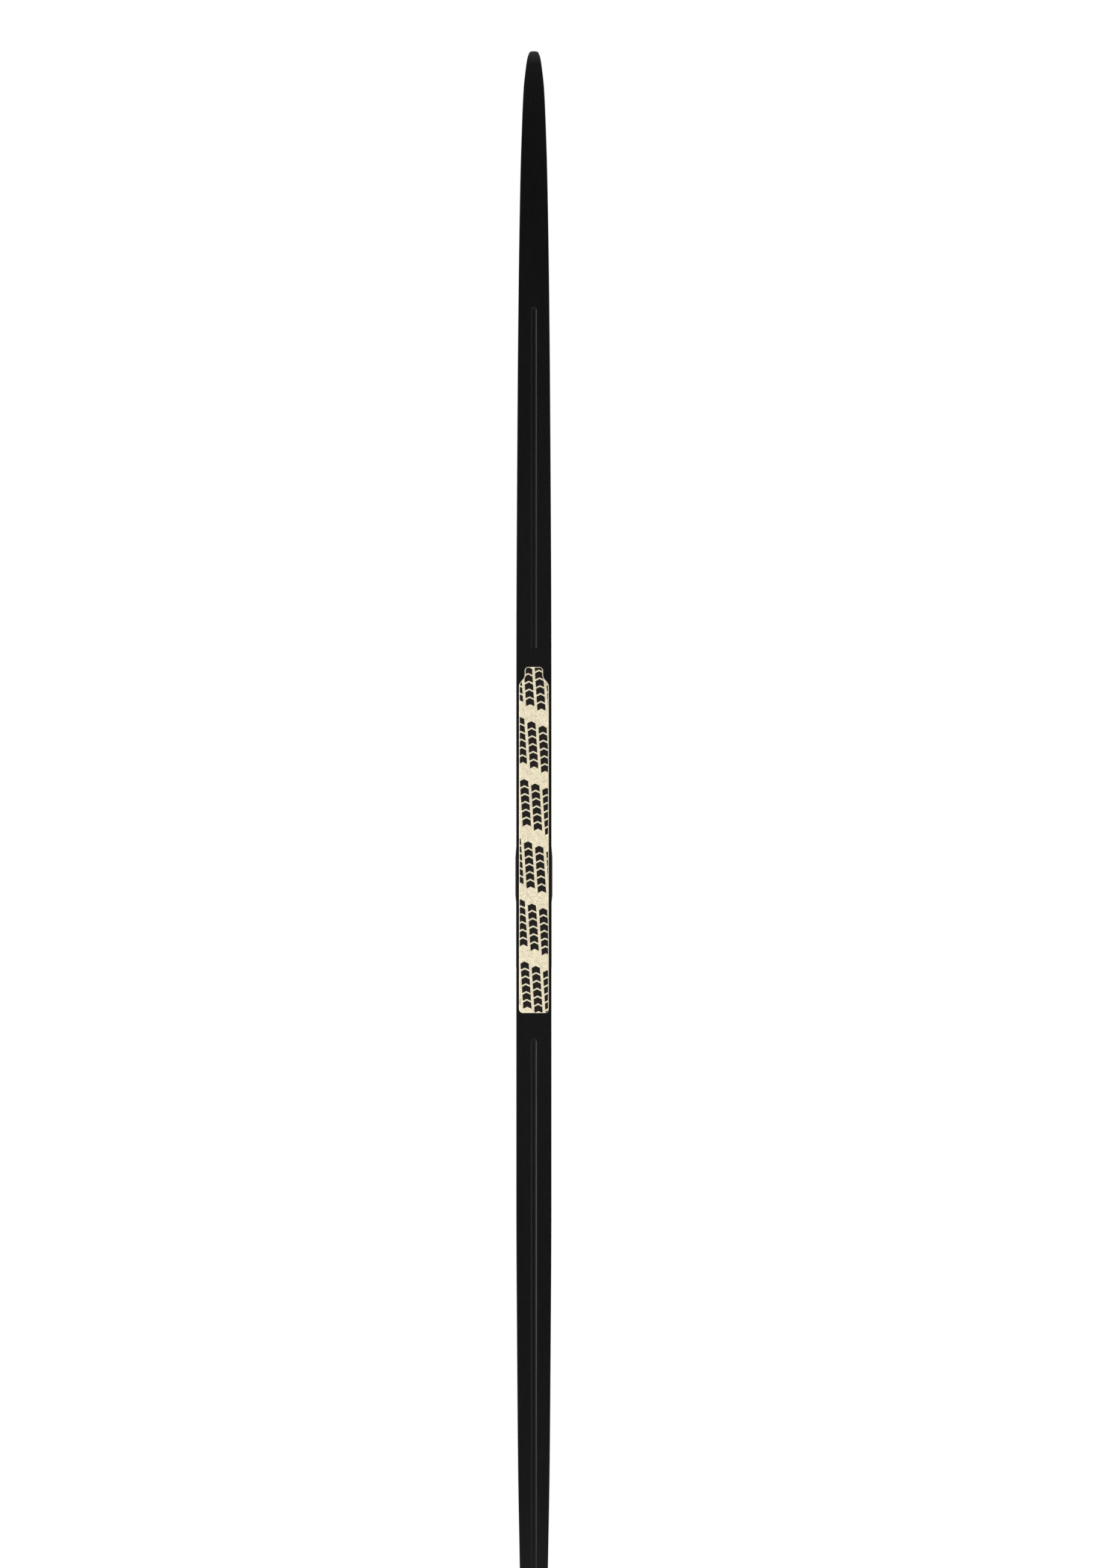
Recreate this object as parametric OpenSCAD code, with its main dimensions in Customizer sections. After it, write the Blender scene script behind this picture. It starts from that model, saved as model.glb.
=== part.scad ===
// Cross country ski: a laminated classic ski with a grip skin let into its base
// and a step-in toe binding with a separate heel plate on its top sheet.
//
// The ski stands on its tail. +Z runs from the tail to the tip, the running base
// faces -Y, and the top sheet and the binding face +Y. X runs across the ski.
// The origin is the middle of the tail's end face.
//
// Binding parts are drawn about the boot's toe bar: X across, Y up from the top
// sheet, Z forward from the bar.

/* [Ski] */
// Length from tail to tip
ski_length = 2020; // [1980:5:2060]
// Greatest width of the base
ski_width = 46; // [44:0.5:48]
// Height of the camber under the foot, with no weight on the ski
camber = 20; // [14:1:24]
// Height that the tip curves up
tip_lift = 52; // [40:1:60]
// Height that the tail curves up
tail_lift = 6; // [3:0.5:8]
// Thickness at the top of the camber
foot_t = 26; // [25:0.5:28]
// Distance from the tail to the boot's toe bar
bar_z = 954; // [944:1:964]

/* [Layers] */
// Thickness of the running base
base_t = 1.5; // [1.3:0.1:1.8]
// Thickness of each fibre laminate
laminate_t = 0.6; // [0.4:0.1:0.8]
// Thickness of the top sheet
sheet_t = 0.7; // [0.5:0.1:0.9]
// Thickness of the screw-holding plate under the binding
insert_t = 1.2; // [0.8:0.1:1.6]
// Width of each sidewall
wall_t = 2.5; // [2:0.1:3.5]
// How far the sidewalls lean in at the top
wall_lean = 0.7; // [0.4:0.1:1]

/* [Groove] */
// Width of the guide groove in the base
groove_w = 7.8; // [6:0.2:9]
// Depth of the guide groove
groove_depth = 1.1; // [0.6:0.1:1.2]
// Rear end of the front groove, from the tail
groove_front_z = 1239; // [1230:1:1260]
// Length of the front groove
groove_front_len = 447; // [400:1:460]
// Front end of the rear groove, from the tail
groove_rear_z = 731; // [700:1:745]

/* [Grip skin] */
// Rear end of the skin, from the tail
skin_z = 764; // [755:1:775]
// Length of the skin, with its tongue
skin_len = 452; // [430:1:460]
// Width of the skin
skin_w = 39; // [36:0.5:40]
// Width of the skin's tongue
tongue_w = 24; // [18:0.5:28]
// Length of the tongue and its shoulders
tongue_len = 24; // [22:1:30]
// How far the pile stands out of the base
skin_proud = 0.25; // [0.1:0.05:0.4]

/* [Binding] */
// Diameter of the boot's toe bar
bar_d = 4; // [3.9:0.1:4.1]
// Height of the toe bar over the top sheet
bar_y = 8.2; // [8.2:0.1:8.6]
// Height of the surface that the boot's sole rests on
sole_y = 5.4; // [5.2:0.1:5.6]
// Height of the guide ridges
ridge_y = 9.2; // [8.5:0.1:9.5]
// Thickness of the moulded plate under the housing
plate_t = 2.2; // [2:0.1:2.2]
// Greatest width of the binding
housing_w = 48.4; // [47.6:0.2:49]
// Travel of the latch
latch_travel = 5.6; // [5.2:0.1:6]
// Turns of wire in the latch spring
spring_turns = 7; // [5:1:9]

/* [Heel plate] */
// Distance from the toe bar back to the middle of the heel plate
heel_back = 266; // [250:1:268]
// Length of the heel plate
heel_len = 114; // [108:1:116]
// Width of the heel plate
heel_w = 43; // [41:0.5:43]

/* [Hidden] */
$fn = 48;

// The curves along the ski, set out on a ski 2020 mm long and 46 mm wide.
len_k = ski_length / 2020;
width_k = ski_width / 46;

// Width of the base: [distance from the tip, width].
outline = [
    [0, 8.5], [2, 12], [8, 16.6], [22, 21.2], [50, 27], [90, 30.8], [170, 35.6], [300, 39.8],
    [460, 42.8], [760, 45.8], [900, 46], [1500, 46], [1740, 43.4], [1850, 41.4],
    [1940, 38.4], [2012, 34.8], [2020, 30]
];

tail_contact = 130 * len_k;
tip_contact = 1740 * len_k;
crest_z = 830 * len_k;
tip_power = 2.3;
tail_t = 5.5;
tail_mid = tail_lift + tail_t / 2;
deck_y = camber + foot_t - tail_mid;

// The binding stands on a flat stretch of the top sheet.
deck_low = bar_z - 342;
deck_high = bar_z + 74;

// The core, the laminates and the sidewalls run between the two end spacers.
core_low = 60;
core_high = ski_length - 90;

// Thickness in front of and behind the flat stretch: [distance from the tail, thickness].
rear_t = [
    [-40, tail_t], [0, tail_t], [130, 8.5], [300, 15], [450, 22.5], [550, 27],
    [deck_low, deck_y - base_y(deck_low)]
];
front_t = [
    [deck_high, deck_y - base_y(deck_high)], [1110, 27], [1250, 23.5], [1450, 16.5],
    [1600, 12], [1740, 8.6], [1880, 5.6], [2020, 3.8], [2100, 3.8]
];

// The sidewalls show from above up to here, and then the lean fades out.
lean_end = 1660 * len_k;
lean_fade = 80;

// Index of the last knot before x, in a list of [x, value].
function knot(list, x, i = 0) =
    (i >= len(list) - 2 || x < list[i + 1][0]) ? i : knot(list, x, i + 1);
function secant(list, i) =
    (list[i + 1][1] - list[i][1]) / (list[i + 1][0] - list[i][0]);
// Slope at a knot that keeps the curve from overshooting.
function slope(list, i) =
    i == 0 ? secant(list, 0)
    : i == len(list) - 1 ? secant(list, i - 1)
    : secant(list, i - 1) * secant(list, i) <= 0 ? 0
    : 2 / (1 / secant(list, i - 1) + 1 / secant(list, i));
// Smooth curve through a list of [x, value].
function curve(list, x) =
    let (
        i = knot(list, x),
        h = list[i + 1][0] - list[i][0],
        t = (x - list[i][0]) / h,
        a = list[i][1],
        b = list[i + 1][1]
    )
    a * (1 + 2 * t) * pow(1 - t, 2) + h * slope(list, i) * t * pow(1 - t, 2)
        + b * pow(t, 2) * (3 - 2 * t) - h * slope(list, i + 1) * pow(t, 2) * (1 - t);
// Eases from 0 to 1 with no slope at either end.
function ease(t) = pow(t, 3) * (t * (6 * t - 15) + 10);

function half_w(z) = width_k * curve(outline, (ski_length - z) / len_k) / 2;
function base_y(z) =
    (z < tail_contact ? tail_lift * pow(1 - z / tail_contact, 2)
    : z < crest_z ? camber * ease((z - tail_contact) / (crest_z - tail_contact))
    : z < tip_contact ? camber * ease((tip_contact - z) / (tip_contact - crest_z))
    : tip_lift * pow((z - tip_contact) / (ski_length - tip_contact), tip_power)) - tail_mid;
function top_y(z) =
    z < deck_low ? base_y(z) + curve(rear_t, z)
    : z > deck_high ? base_y(z) + curve(front_t, z / len_k)
    : deck_y;
function lean(z) =
    z < lean_end ? wall_lean
    : z < lean_end + lean_fade ? wall_lean * (lean_end + lean_fade - z) / lean_fade
    : 0;

// Distances from the tail at which every layer has its corners.
function steps(from, to, count) = [for (i = [0:count - 1]) from + (to - from) * i / count];
tip_steps = 10;
stations = concat(
    [for (i = [0:4]) core_low * (1 - cos(18 * i))],
    steps(core_low, tail_contact, 4),
    steps(tail_contact, deck_low, 11),
    steps(deck_low, deck_high, 8),
    steps(deck_high, tip_contact, 14),
    steps(tip_contact, core_high, 7),
    [for (i = [0:tip_steps]) core_high + (ski_length - core_high) * sin(90 * i / tip_steps)]
);
function span(low, high) =
    concat([low], [for (z = stations) if (z > low + 0.01 && z < high - 0.01) z], [high]);
function reversed(list) = [for (i = [len(list) - 1:-1:0]) list[i]];
function arc(x, z, r, from, to, count) =
    [for (i = [0:count]) let (a = from + (to - from) * i / count) [x + r * cos(a), z + r * sin(a)]];
// A rounded nose, from its point at front out to half at rear.
function bow(half, rear, front, count = 12, power = 0.75) =
    [for (i = [count:-1:0]) let (a = 90 * i / count)
        [half * pow(cos(a), power), rear + (front - rear) * pow(sin(a), power)]];
// Points along the smooth curve through a list of [x, value].
function bent(list, count = 14) =
    [for (x = steps(list[0][0], list[len(list) - 1][0], count)) [x, curve(list, x)],
        list[len(list) - 1]];
// Closes an outline given as its +X half, from front to back.
function both_sides(half) = concat(half, reversed([for (p = half) [-p[0], p[1]]]));

reach = 60;

// A plate whose outline is seen along Y, from points [x, z].
module plan_block(points, y1, y2) {
    translate([0, y2, 0]) rotate([90, 0, 0]) linear_extrude(y2 - y1) polygon(points);
}

// A plate whose outline is seen along X, from points [z, y].
module side_block(points, x1, x2) {
    translate([x1, 0, 0]) rotate([90, 0, 90]) linear_extrude(x2 - x1)
        polygon([for (p = points) [p[1], p[0]]]);
}

// A box between two corners.
module block(low, high) {
    translate(low) cube(high - low);
}

// A block on each side of the middle, from x1 to x2.
module twin_block(x1, x2, y1, y2, z1, z2) {
    for (side = [0, 1]) mirror([side, 0, 0]) block([x1, y1, z1], [x2, y2, z2]);
}

// A cylinder along X or along Y.
module rod_x(r, x1, x2, y, z) {
    translate([x1, y, z]) rotate([0, 90, 0]) cylinder(r = r, h = x2 - x1);
}
module rod_y(r, x, y1, y2, z) {
    translate([x, y1, z]) rotate([-90, 0, 0]) cylinder(r = r, h = y2 - y1);
}

// The band between two curves seen from the side, wider than the ski.
module side_band(low, high) {
    zs = concat([-20], [for (z = stations) if (z > 0.01 && z < ski_length - 0.01) z],
        [ski_length + 20]);
    edge = concat([for (z = zs) [z, low(z)]], reversed([for (z = zs) [z, high(z)]]));
    side_block(edge, -reach, reach);
}

// The ski's plan between two stations, set in from its edge.
module plan_band(low, high, inset) {
    half = reversed([for (z = span(low, high)) [half_w(z) - inset(z), z]]);
    plan_block(both_sides(half), -reach, 2 * reach);
}

module layer(low, high, inset, y1, y2) {
    intersection() {
        side_band(y1, y2);
        plan_band(low, high, inset);
    }
}

// A closed skin over a list of rings, each a list of points in the same order.
module skin_over(rings) {
    n = len(rings[0]);
    last = len(rings) - 1;
    points = [for (ring = rings) for (p = ring) p];
    sides = [for (i = [0:last - 1]) for (j = [0:n - 1]) each let (
        a = i * n + j,
        b = i * n + (j + 1) % n
    ) [[a, b, b + n], [a, b + n, a + n]]];
    first_cap = [for (j = [n - 1:-1:0]) j];
    last_cap = [for (j = [0:n - 1]) last * n + j];
    polyhedron(points, concat(sides, [first_cap, last_cap]));
}

// ---- the ski's own layers ----

under_base = function (z) base_y(z);
over_base = function (z) base_y(z) + base_t;
over_lower = function (z) base_y(z) + base_t + laminate_t;
under_upper = function (z) top_y(z) - sheet_t - laminate_t;
under_sheet = function (z) top_y(z) - sheet_t;
over_sheet = function (z) top_y(z);
full_width = function (z) 0;
between_walls = function (z) wall_t;
leaned = function (z) lean(z);

// Screw positions: [x, distance forward of the toe bar], and the heel's about its middle.
plate_screw_at = [[10.5, 46], [-10.5, 46], [0, -98], [0, -158]];
heel_screw_at = [[0, 46], [0, -46]];
screw_r = 2.5;
screw_depth = 9;
head_r = 4;
head_h = 2.4;
// The cross recess in a screw's head: half its length, half its width and its depth.
cross_long = 2.4;
cross_half = 0.55;
cross_deep = 1.3;
heel_z = bar_z - heel_back;

module screw_holes() {
    for (p = plate_screw_at) rod_y(screw_r, p[0], deck_y - screw_depth, deck_y + 1, bar_z + p[1]);
    for (p = heel_screw_at) rod_y(screw_r, p[0], deck_y - screw_depth, deck_y + 1, heel_z + p[1]);
}

module groove_slot(low, high) {
    intersection() {
        side_band(function (z) base_y(z) - 2, function (z) base_y(z) + groove_depth);
        union() {
            block([-groove_w / 2, -reach, low + groove_w / 2],
                [groove_w / 2, reach, high - groove_w / 2]);
            rod_y(groove_w / 2, 0, -reach, reach, low + groove_w / 2);
            rod_y(groove_w / 2, 0, -reach, reach, high - groove_w / 2);
        }
    }
}

// Half of the skin's outline, from the tip of its tongue to its rear end.
tongue_r = 5;
shoulder_r = 7;
rear_r = 5.5;
function skin_half(gap) =
    let (
        front = skin_z + skin_len - gap,
        rear = skin_z + gap,
        wide = skin_w / 2 - gap,
        tongue = tongue_w / 2 - gap,
        neck = front - tongue_len + shoulder_r + 4
    )
    concat(
        [[0, front]],
        arc(tongue - tongue_r, front - tongue_r, tongue_r, 90, 0, 6),
        arc(tongue + shoulder_r, neck, shoulder_r, 180, 255, 6),
        arc(wide - 3, front - tongue_len - 3, 3, 60, 0, 4),
        arc(wide - rear_r, rear + rear_r, rear_r, 0, -90, 6),
        [[0, rear]]
    );

module skin_plan(gap) {
    plan_block(both_sides(skin_half(gap)), -reach, reach);
}

module base_sheet() {
    color("#161616") difference() {
        layer(0, ski_length, full_width, under_base, over_base);
        groove_slot(groove_front_z, groove_front_z + groove_front_len);
        groove_slot(-20, groove_rear_z);
        skin_plan(0);
    }
}

module grip_skin() {
    color("#e5dcbf") intersection() {
        side_band(function (z) base_y(z) - skin_proud, function (z) base_y(z) + base_t - 0.5);
        skin_plan(0.15);
    }
}

module skin_backing() {
    color("#3a3a3a") intersection() {
        side_band(function (z) base_y(z) + base_t - 0.5, over_base);
        skin_plan(0.15);
    }
}

module lower_laminate() {
    color("#22262a") layer(core_low, core_high, between_walls, over_base, over_lower);
}

insert_y1 = deck_y - sheet_t - laminate_t - insert_t;
insert_y2 = deck_y - sheet_t - laminate_t;

module core() {
    color("#d9b77c") difference() {
        layer(core_low, core_high, between_walls, over_lower, under_upper);
        block([-reach, insert_y1, deck_low], [reach, deck_y + 5, deck_high]);
        screw_holes();
    }
}

module binding_insert() {
    color("#b9b7a0") difference() {
        intersection() {
            plan_band(deck_low, deck_high, between_walls);
            block([-reach, insert_y1, deck_low - 5], [reach, insert_y2, deck_high + 5]);
        }
        screw_holes();
    }
}

module upper_laminate() {
    color("#22262a") difference() {
        layer(core_low, core_high, between_walls, under_upper, under_sheet);
        screw_holes();
    }
}

module top_sheet() {
    color("#343434") difference() {
        layer(0, ski_length, leaned, under_sheet, over_sheet);
        screw_holes();
    }
}

// A sidewall stands on the base and leans in under the top sheet's edge.
module sidewall() {
    color("#c8202c") skin_over([for (z = span(core_low, core_high)) [
        [half_w(z) - wall_t, over_base(z), z],
        [half_w(z) - wall_t, under_sheet(z), z],
        [half_w(z) - lean(z), under_sheet(z), z],
        [half_w(z), over_base(z), z]
    ]]);
}
module sidewall_right() {
    sidewall();
}
module sidewall_left() {
    mirror([1, 0, 0]) sidewall();
}

module tip_spacer() {
    color("#1c1c1c") layer(core_high, ski_length, full_width, over_base, under_sheet);
}

module tail_spacer() {
    color("#1c1c1c") layer(0, core_low, leaned, over_base, under_sheet);
}

// ---- the binding ----

bar_r = bar_d / 2;
seat_r = bar_r + 0.05;
seat_w = 16;
seat_rear = -9;
seat_lip = 2.7;
// Gap around a part that sits in a pocket of the housing.
fit_gap = 0.2;

// Half outlines, [x, distance forward of the bar], from front to back.
housing_front = concat(
    bow(22, 36, 60),
    [[23.2, 26], [housing_w / 2, 13], [housing_w / 2, -36], [23.4, -43], [22.6, -51]]
);
housing_tail = [[17.5, -68], [15.6, -74], [13.6, -77], [10.5, -78], [0, -78]];
// Gap between the housing's rear edge and the plate.
seam = 0.25;
// The notch for the ends of the toe bar, open at both sides of the housing.
notch_half = 4;
notch_y = plate_t + 0.8;
// The guide ridges, out from the middle.
ridge_x1 = 8;
ridge_x2 = 14;
// Rear end of the plate, where it steps down, and the half outline from there back.
plate_rear = -178;
plate_step = -132;
corner_r = 5;
plate_tail = concat(
    [[22.6, plate_step], [21.4, plate_step - 1]],
    arc(21.4 - corner_r, plate_rear + corner_r, corner_r, 0, -90, 6),
    [[0, plate_rear]]
);
// Heights of the plate's lower rear part, from its step to its end.
rear_heights = [3.9, 3.6, 2.6];

// Latch and lever.
latch_half = 5;
channel_half = 5.6;
latch_low = plate_t + 0.2;
latch_top = latch_low + 2;
hook_back = 3.4;
hook_front = 6.2;
claw_t = 2.1;
claw_reach = 2.5;
pivot_y = 10.5;
pivot_z = 33.5;
pin_r = 1.5;
pin_play = 0.05;
hub_r = 3.4;
arm_len = 5.6;
arm_half = 2.2;
finger_r = 1.3;
finger_gap = 0.9;
pusher_z = pivot_z + finger_r + finger_gap;
pusher_t = 2.5;
pusher_top = 8.4;
// Length of the spring when the latch is fully open, and the wall it pushes on.
spring_closed = 6.7;
channel_front = pusher_z + pusher_t + latch_travel + spring_closed;
lever_half = 12;
ear_x1 = 12.4;
ear_x2 = 15.6;
hub_room_front = 38.6;
flexor_half = 12.5;
flexor_low = latch_top + 0.7;
flexor_rear = 13.3;
flexor_front = 27;
// Lines cut across the lever, the flexor and the plate.
line_half = 0.35;
line_deep = 0.5;
grip_half = 8;
flexor_groove_y = 19.4;
tick_low = 3.2;
// The wall between the flexor and the lever.
wall_z1 = 27.3;
wall_z2 = 29.4;
// Height of the housing's hood, which the lever lies on.
hood_y = 8.6;

module at_bar() {
    translate([0, deck_y, bar_z]) children();
}
module at_heel() {
    translate([0, deck_y, heel_z]) children();
}

// Heights at which the screw heads seat, ahead of the bar and behind it.
front_seat_y = plate_t + 2;
rear_seat_y = 1.8;

// A screw head's recess, from the seat of the head up, and the hole below it.
module head_recess(p, seat_y) {
    rod_y(head_r + 0.3, p[0], seat_y, reach, p[1]);
    rod_y(screw_r, p[0], -1, seat_y + 1, p[1]);
}

// A guide ridge on each side, with sloped ends.
module ridges(z1, z2, low) {
    profile = [[z1, low], [z1, ridge_y - 2.4], [z1 + 4, ridge_y], [z2 - 6, ridge_y],
        [z2, low + 0.6], [z2, low]];
    edge = 0.8;
    for (side = [0, 1]) mirror([side, 0, 0]) intersection() {
        side_block(profile, ridge_x1, ridge_x2);
        translate([0, 0, z1 - 1]) linear_extrude(z2 - z1 + 2)
            polygon([[ridge_x1, -1], [ridge_x2, -1], [ridge_x2, ridge_y - edge],
                [ridge_x2 - edge, ridge_y + 0.01], [ridge_x1 + edge, ridge_y + 0.01],
                [ridge_x1, ridge_y - edge]]);
    }
}

module binding_plate() {
    rib_half = ridge_x1 + 0.5;
    color("#3d3d3e") at_bar() difference() {
        union() {
            plan_block(both_sides(concat([for (p = housing_front) p * 0.99], plate_tail)),
                0, plate_t);
            intersection() {
                plan_block(both_sides(concat([[0, -40], [23.2, -40], [23.2, plate_step + 2]],
                    plate_tail)), 0, reach);
                side_block([[-40, 1], [-40, sole_y], [plate_step + 0.4, sole_y],
                    [plate_step - 0.4, rear_heights[0]], [plate_rear + 3, rear_heights[1]],
                    [plate_rear - 1, rear_heights[2]], [plate_rear - 1, 0.01], [-42, 0.01]],
                    -reach, reach);
            }
            ridges(plate_rear + 8, -79, 1);
            for (z = [-88:-10:-150]) block([-rib_half, 1, z - 1], [rib_half, sole_y + 1.2, z + 1]);
        }
        // The housing's place, with a seam along its rear edge.
        plan_block(both_sides(concat([[0, reach], [reach, reach], [reach, -51]],
            [for (p = housing_tail) [p[0] + (p[0] > 0 ? seam : 0), p[1] - seam]])), plate_t, reach);
        for (p = plate_screw_at) head_recess(p, p[1] > 0 ? plate_t + 5 : rear_seat_y);
        for (p = plate_screw_at) if (p[1] < 0)
            block([-ridge_x1, sole_y - 0.6, p[1] - 7], [ridge_x1, reach, p[1] + 7]);
        // Lines that show how far the plate has been moved, beside the ridges.
        for (z = [plate_step - 6:-4:plate_rear + 12])
            twin_block(ridge_x2 + 1.5, ridge_x2 + 4.5, tick_low, reach, z - line_half, z + line_half);
    }
}

module housing() {
    outline_half = concat(housing_front, housing_tail);
    nose = concat([[6, plate_t], [6, sole_y], [12, hood_y]],
        bent([[43, hood_y], [47, hood_y - 0.1], [52, 6.4], [56, 4.1], [60.5, 3.4]]),
        [[60.5, plate_t]]);
    color("#434344") at_bar() difference() {
        union() {
            plan_block(both_sides(outline_half), plate_t, sole_y);
            intersection() {
                plan_block(both_sides(concat(bow(20.8, 36, 59.4),
                    [[21.6, 26], [21.4, 16], [20.4, 10], [18.5, 6], [0, 6]])), 0, reach);
                side_block(nose, -reach, reach);
            }
            // Cheeks beside the flexor, the wall before it and the lever's ears.
            for (side = [0, 1]) mirror([side, 0, 0]) {
                side_block([[9, plate_t], [9, hood_y], [13, 12.6], [27, 13.4], [29.6, 13.4],
                    [29.6, plate_t]], flexor_half + 0.3, ear_x2);
                rod_x(4, ear_x1, ear_x2, pivot_y, pivot_z);
                block([ear_x1, plate_t, pivot_z - 4], [ear_x2, pivot_y, pivot_z + 4]);
            }
            block([-ear_x2, plate_t, wall_z1], [ear_x2, 11.4, wall_z2]);
            ridges(-77, -17, plate_t + 0.2);
        }
        // Channel for the latch and its spring, open over the hook and ahead of the wall.
        block([-channel_half, plate_t - 1, seat_lip + fit_gap],
            [channel_half, flexor_low - fit_gap, channel_front]);
        block([-channel_half, plate_t, seat_lip + fit_gap],
            [channel_half, reach, flexor_rear - 0.3]);
        block([-channel_half, plate_t, wall_z2], [channel_half, reach, channel_front]);
        // Pockets for the flexor, the lever's hub and the steel seat.
        block([-flexor_half - 0.3, flexor_low - fit_gap, flexor_rear - 0.3],
            [flexor_half + 0.3, reach, wall_z1]);
        block([-ear_x1, pivot_y - hub_r - 0.5, wall_z2], [ear_x1, reach, hub_room_front]);
        block([-seat_w / 2 - fit_gap, plate_t - 1, seat_rear - fit_gap],
            [seat_w / 2 + fit_gap, reach, seat_lip + 0.3]);
        // The notch that takes the ends of the boot's bar, and a shallow groove behind it.
        twin_block(seat_w / 2 + 0.1, reach, notch_y, reach, -notch_half, notch_half);
        twin_block(ridge_x2 + 0.5, reach, sole_y - 0.9, reach, -14, -8);
        rod_x(pin_r, -reach, reach, pivot_y, pivot_z);
        for (p = plate_screw_at) if (p[1] > 0) head_recess(p, front_seat_y);
    }
}

// Steel cradle that the toe bar drops into, open to the front and above.
module toe_bar_seat() {
    color("#a9adb1") at_bar() difference() {
        side_block([[seat_rear, plate_t], [seat_lip, plate_t], [seat_lip, bar_y - 1.2],
            [0, bar_y - 1.2], [0, bar_y], [-seat_r, bar_y], [-seat_lip, bar_y + 1.2],
            [seat_rear + 3.4, bar_y + 1.2], [seat_rear, bar_y - 2]], -seat_w / 2, seat_w / 2);
        rod_x(seat_r, -reach, reach, bar_y, 0);
    }
}

// Sliding steel latch: a hook over the bar, a window for the lever's finger and a
// pusher between that finger and the spring.
module latch() {
    claw_y = bar_y + bar_r + 0.3;
    color("#8f9499") at_bar() difference() {
        union() {
            block([-latch_half, latch_low, hook_back], [latch_half, latch_top, pusher_z + pusher_t]);
            side_block([[hook_back, latch_low], [hook_back, claw_y], [0.3 - claw_reach, claw_y],
                [-claw_reach, claw_y + 0.6], [0.6, claw_y + claw_t],
                [hook_front, claw_y + claw_t], [hook_front, latch_low]], -latch_half, latch_half);
            block([-latch_half + 0.4, latch_low, pusher_z], [latch_half - 0.4, pusher_top,
                pusher_z + pusher_t]);
        }
        block([-arm_half - 0.5, latch_low - 1, pivot_z - 3.6], [arm_half + 0.5, latch_top + 0.01,
            pusher_z]);
    }
}

// Lever: a curved paddle on two hubs, with a finger that reaches down into the latch.
module lever() {
    paddle_over = [[34, 14.8], [40, 14.7], [47, 13.3], [53, 11.4], [57, 10.6], [60, 10.7],
        [61.7, 11.5]];
    paddle_under = [[37.4, 12], [45, 10.6], [51, 9.2], [56, 8.5], [60, 8.9], [61.7, 10.2]];
    paddle = concat([[pivot_z, 8.2], [30.7, 10], [30.6, 12.4], [31.8, 13.9]],
        bent(paddle_over), reversed(bent(paddle_under)));
    top_view = concat(bow(14.4, 44, 62), [[14.3, 41], [13.6, 39.3], [lever_half, 38.9],
        [lever_half, 29], [0, 29]]);
    color("#4a4a4c") at_bar() difference() {
        union() {
            intersection() {
                plan_block(both_sides(top_view), 0, reach);
                side_block(paddle, -reach, reach);
            }
            rod_x(hub_r, -lever_half, lever_half, pivot_y, pivot_z);
        }
        // Room between the hubs for the pusher, beside and below the middle arm.
        block([-channel_half, 0, pivot_z - 6], [channel_half, 11.9, pivot_z + 6]);
        rod_x(pin_r + pin_play, -reach, reach, pivot_y, pivot_z);
        // Dimple for a pole tip.
        rod_y(3.2, 0, 12.6, reach, 46.5);
        // Grip lines across the end of the paddle.
        for (z = [52:2:58]) block([-grip_half, curve(paddle_over, z) - line_deep, z - line_half],
            [grip_half, reach, z + line_half]);
    }
    color("#4a4a4c") at_bar() difference() {
        union() {
            block([-arm_half, pivot_y - arm_len, pivot_z - finger_r],
                [arm_half, pivot_y, pivot_z + finger_r]);
            block([-arm_half, pivot_y, pivot_z - 2], [arm_half, 12.4, pivot_z + 2]);
            rod_x(2.6, -arm_half, arm_half, pivot_y, pivot_z);
            rod_x(finger_r, -arm_half, arm_half, pivot_y - arm_len, pivot_z);
        }
        rod_x(pin_r + pin_play, -reach, reach, pivot_y, pivot_z);
    }
}

module lever_pin() {
    color("#c3c7ca") at_bar() rod_x(pin_r, -ear_x2, ear_x2, pivot_y, pivot_z);
}

// Compression spring between the latch's pusher and the front wall of the channel.
spring_r = 1.5;
wire_r = 0.3;
spring_y = 6;
module latch_spring() {
    z1 = pusher_z + pusher_t + wire_r;
    z2 = channel_front - wire_r;
    per_turn = 14;
    count = spring_turns * per_turn;
    color("#9aa0a6") at_bar() translate([0, spring_y, 0]) skin_over([for (i = [0:count]) let (
        turn = 360 * i / per_turn,
        z = z1 + (z2 - z1) * i / count
    ) [for (j = [5:-1:0]) [
        (spring_r + wire_r * cos(60 * j)) * cos(turn),
        (spring_r + wire_r * cos(60 * j)) * sin(turn),
        z + wire_r * sin(60 * j)
    ]]]);
}

// Rubber block that the boot's toe rolls against; it overhangs the open hook.
module flexor() {
    color("#1d1d1f") at_bar() difference() {
        side_block([[flexor_rear, flexor_low], [flexor_rear, 13.2], [9.2, 13.5], [8, 14.8],
            [8, 16.8], [9.2, 18.8], [11.6, 20], [17, 20.2], [22, 18.9], [25.4, 16.4],
            [flexor_front, 13], [flexor_front, flexor_low]], -flexor_half, flexor_half);
        for (z = [13:2.5:18]) block([-grip_half, flexor_groove_y, z - line_half],
            [grip_half, reach, z + line_half]);
    }
}

// A pan-head screw with a cross recess, its head's seat at y = 0 and seat_y over the deck.
module screw(seat_y) {
    difference() {
        union() {
            rod_y(head_r, 0, 0, head_h, 0);
            rod_y(screw_r, 0, -screw_depth - seat_y, 0.5, 0);
        }
        for (turn = [0, 90]) rotate([0, turn, 0])
            block([-cross_long, head_h - cross_deep, -cross_half],
                [cross_long, head_h + 1, cross_half]);
    }
}

module plate_screws() {
    color("#b4b8bb") at_bar() for (p = plate_screw_at)
        let (seat_y = p[1] > 0 ? front_seat_y : rear_seat_y)
            translate([p[0], seat_y, p[1]]) screw(seat_y);
}

// The heel pad: its floor, half its length and half its width.
pad_low = 3;
pad_long = 38;
pad_half = 7.2;
pad_gap = 0.2;

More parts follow.
